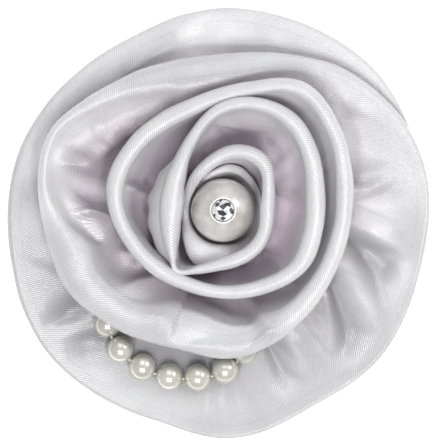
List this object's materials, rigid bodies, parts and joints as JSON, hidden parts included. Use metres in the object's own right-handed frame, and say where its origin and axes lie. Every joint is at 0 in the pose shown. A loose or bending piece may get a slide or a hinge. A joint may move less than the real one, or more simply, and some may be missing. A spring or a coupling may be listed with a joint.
{
  "type": "flower hair clip",
  "caption": "Rolled satin rosette with a pearl centre and a bead swag, on a felt back with a sprung toothed prong clip that opens to take a lock of hair.",
  "frame": {"origin": "middle of the clip's outline, on the surface that the clip lies on", "axes": "+Z out of the flower's face, square to its felt back; +Y from the bead swag across the pearl; +X along the clip from finger pad to teeth"},
  "size_m": [0.093, 0.0948, 0.033],
  "materials": {
    "satin": "silver-lilac polyester satin, fine twill, soft sheen",
    "centre_pearl": "champagne-grey pearlised coating, glossy",
    "small_pearls": "ivory pearlised coating, glossy",
    "crystal": "clear cut glass, foiled back",
    "glue": "cured milky hot-melt glue",
    "thread": "twisted polyester thread",
    "buckram": "stiffened open-weave buckram",
    "felt": "pressed pale grey felt",
    "clip_steel": "nickel-plated pressed steel, satin",
    "pin_steel": "plain steel rivet",
    "spring_steel": "drawn spring wire"
  },
  "bodies": {
    "flower": {"bud_fold": "satin", "inner_petal": "satin", "middle_petal": "satin", "outer_petal": "satin", "base_ruffle": "satin", "centre_pearl": "centre_pearl", "centre_crystal": "crystal", "pearl_glue": "glue", "swag_beads": "small_pearls", "swag_thread": "thread", "stiffener_disc": "buckram", "felt_back": "felt", "felt_strap": "felt", "felt_stitches": "thread", "upper_lever": "clip_steel", "hinge_pin": "pin_steel", "torsion_spring": "spring_steel"},
    "lower_jaw": {"lower_lever": "clip_steel"}
  },
  "joints": [
    {"name": "jaw_hinge", "type": "hinge", "parent": "flower", "child": "lower_jaw", "pos_m": [-0.00803, 0.00275, 0.00991], "axis": [0, 1, 0], "range_deg": [0, 30], "stiffness_Nm_per_rad": 0.08, "springref_deg": -34.38, "deforming": ["torsion_spring"]}
  ]
}
